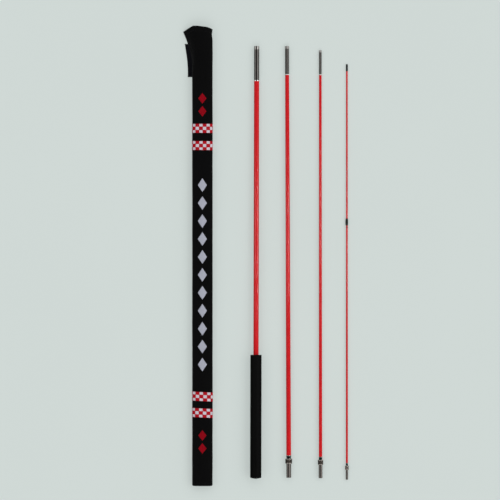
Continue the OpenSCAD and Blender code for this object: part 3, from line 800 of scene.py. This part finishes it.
def lozenges(name, middles, size, material):
    """Printed lozenges on the bag's front, each a fine grid laid on the cloth."""
    width, height = size
    count = 13
    share = np.linspace(0, 1, count)
    across, up = np.meshgrid(share, share)
    points, uvs, faces = [], [], []
    for middle in middles:
        arc = CROWN_ARC + (across - up) * width / 2
        y = middle - BAG_Y + (across + up - 1) * height / 2
        faces += grid_faces(count, count, first=len(points) * count * count)
        points.append(bag_surface(arc, y, 0.12 * MM))
        uvs.append(np.stack([arc, y], axis=-1))
    piece = add_piece(name, np.concatenate(points).reshape(-1, 3), faces, material,
                      np.concatenate(uvs).reshape(-1, 2))
    thicken(piece, 0.2 * MM, 0)
    return piece


TAPE_SPARE = 1.7 * MM
TAPE_OUT = 1.85 * MM
TAPE_DRAW = 7.35 * MM
TAPE_TUCK = 2 * MM
TAPE_THICK = 1.4 * MM


def tape_strip():
    """The hook tape beside the slit: it lies on the floor and on the back cloth's edge."""
    columns, rows = 25, 33
    across = np.linspace(0, 1, columns)[None, :]
    along = np.linspace(0, 1, rows)[:, None]
    outer = TAPE_LOW[0] - TAPE_OUT + TAPE_DRAW * np.sin(1.8 * (1 - along))
    inner = TAPE_HIGH[0] + TAPE_TUCK
    length = TAPE_HIGH[1] - TAPE_LOW[1] + 2 * TAPE_SPARE
    x = outer + (inner - outer) * across
    y = np.broadcast_to(TAPE_LOW[1] - TAPE_SPARE + length * along, x.shape)
    on_cloth = smooth_step((x - (SEAM_LOW[0] - 3 * MM)) / (6 * MM))
    z = 0.3 * MM + 1.2 * MM * on_cloth + 0.5 * MM * (1 - across) ** 6
    points = np.stack([x, y, z], axis=-1)
    uv = np.stack([x, y], axis=-1)
    piece = add_piece("bag_hook_strip", points.reshape(-1, 3), grid_faces(rows, columns), TAPE,
                      uv.reshape(-1, 2))
    thicken(piece, TAPE_THICK, 1)
    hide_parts("bag_hook_tape")
    return piece


def stitches(name, path, step=3.4 * MM, long=2.4 * MM, thick=0.2 * MM):
    """A row of thread stitches along a path of points, each a small rounded grain."""
    path = np.asarray(path, float)
    run = np.concatenate([[0], np.cumsum(np.linalg.norm(np.diff(path, axis=0), axis=1))])
    places = np.arange(step / 2, run[-1], step)

    def points_at(distance):
        on_path = np.clip(distance, 0, run[-1])
        return np.stack([np.interp(on_path, run, path[:, k]) for k in range(3)], axis=1)

    profile = ((0.0, 0.15), (0.2, 0.8), (0.5, 1.0), (0.8, 0.8), (1.0, 0.15))
    sides = 6
    points, faces = [], []
    for low, high in zip(points_at(places - long / 2), points_at(places + long / 2)):
        way = Vector(high - low).normalized()
        first = way.orthogonal().normalized()
        second = way.cross(first)
        start = len(points)
        for share, swell in profile:
            centre = Vector(low).lerp(Vector(high), share)
            for k in range(sides):
                turn = 2 * math.pi * k / sides
                points.append(centre + (first * math.cos(turn) + second * math.sin(turn)) * (thick * swell))
        faces += grid_faces(len(profile), sides, closed=True, first=start)
        faces.append(tuple(range(start + sides - 1, start - 1, -1)))
        last = start + (len(profile) - 1) * sides
        faces.append(tuple(range(last, last + sides)))
    uv = [(p[0], p[1]) for p in points]
    return add_piece(name, points, faces, THREAD, uv)


def bag_stitching():
    """Stitch rows along the mouth's hem, the slit's edge, the side seam and the closed end."""
    hem_arc = np.linspace(5 * MM, CROWN_ARC + 1.2 * BAG_HALF, 160)
    hem_y = BAG_LENGTH - mouth_drop(hem_arc) - HEM_WIDTH + 1 * MM
    slit_y = np.linspace(BAG_LENGTH - SLIT_LENGTH, BAG_LENGTH - FLAP_CORNER - HEM_WIDTH, 120)
    seam_y = np.linspace(6 * MM, BAG_LENGTH - SLIT_LENGTH, 400)
    end_arc = np.linspace(-0.15 * GIRTH, 0.62 * GIRTH, 160)
    return [
        stitches("bag_hem_stitches", bag_surface(hem_arc, hem_y)),
        stitches("bag_slit_stitches", bag_surface(6 * MM, slit_y)),
        stitches("bag_seam_stitches", bag_surface(8 * MM, seam_y)),
        stitches("bag_end_stitches", bag_surface(end_arc, 7 * MM)),
    ]


UPPER_FIRST, UPPER_SECOND = ribbon_middles("bag_upper_ribbons")
LOWER_FIRST, LOWER_SECOND = ribbon_middles("bag_lower_ribbons")
LOWER_INWARD = 1 * MM
PRINT_FIRST = 0.1685
PRINT_SPACING = 43 * MM
PRINT_COUNT = 11
PRINT_SIZE = (22 * MM, 33 * MM)
ACCENT_PLACES = (0.361, -0.447)
ACCENT_SPACING = 31 * MM
ACCENT_SIZE = (20 * MM, 26 * MM)

sleeve = bag_sleeve()
on_bag = [
    ribbon("bag_ribbon_1", "bag_upper_ribbons", UPPER_FIRST, UPPER_SQUARE, 0.9 * MM, 0.0),
    ribbon("bag_ribbon_2", "bag_upper_ribbons", UPPER_SECOND, UPPER_SQUARE, 1.1 * MM, -0.01),
    ribbon("bag_ribbon_3", "bag_lower_ribbons", LOWER_FIRST - LOWER_INWARD, LOWER_SQUARE, 2.0 * MM, -0.05),
    ribbon("bag_ribbon_4", "bag_lower_ribbons", LOWER_SECOND + LOWER_INWARD, LOWER_SQUARE, 0.8 * MM, -0.05),
    tape_strip(),
]
print_rows = [PRINT_FIRST - PRINT_SPACING * i for i in range(PRINT_COUNT)]
accent_rows = [place + side * ACCENT_SPACING / 2 for place in ACCENT_PLACES for side in (1, -1)]
on_bag.append(lozenges("bag_grey_lozenges", print_rows, PRINT_SIZE, PRINT))
on_bag.append(lozenges("bag_red_lozenges", accent_rows, ACCENT_SIZE, PRINT_ACCENT))
on_bag += bag_stitching()
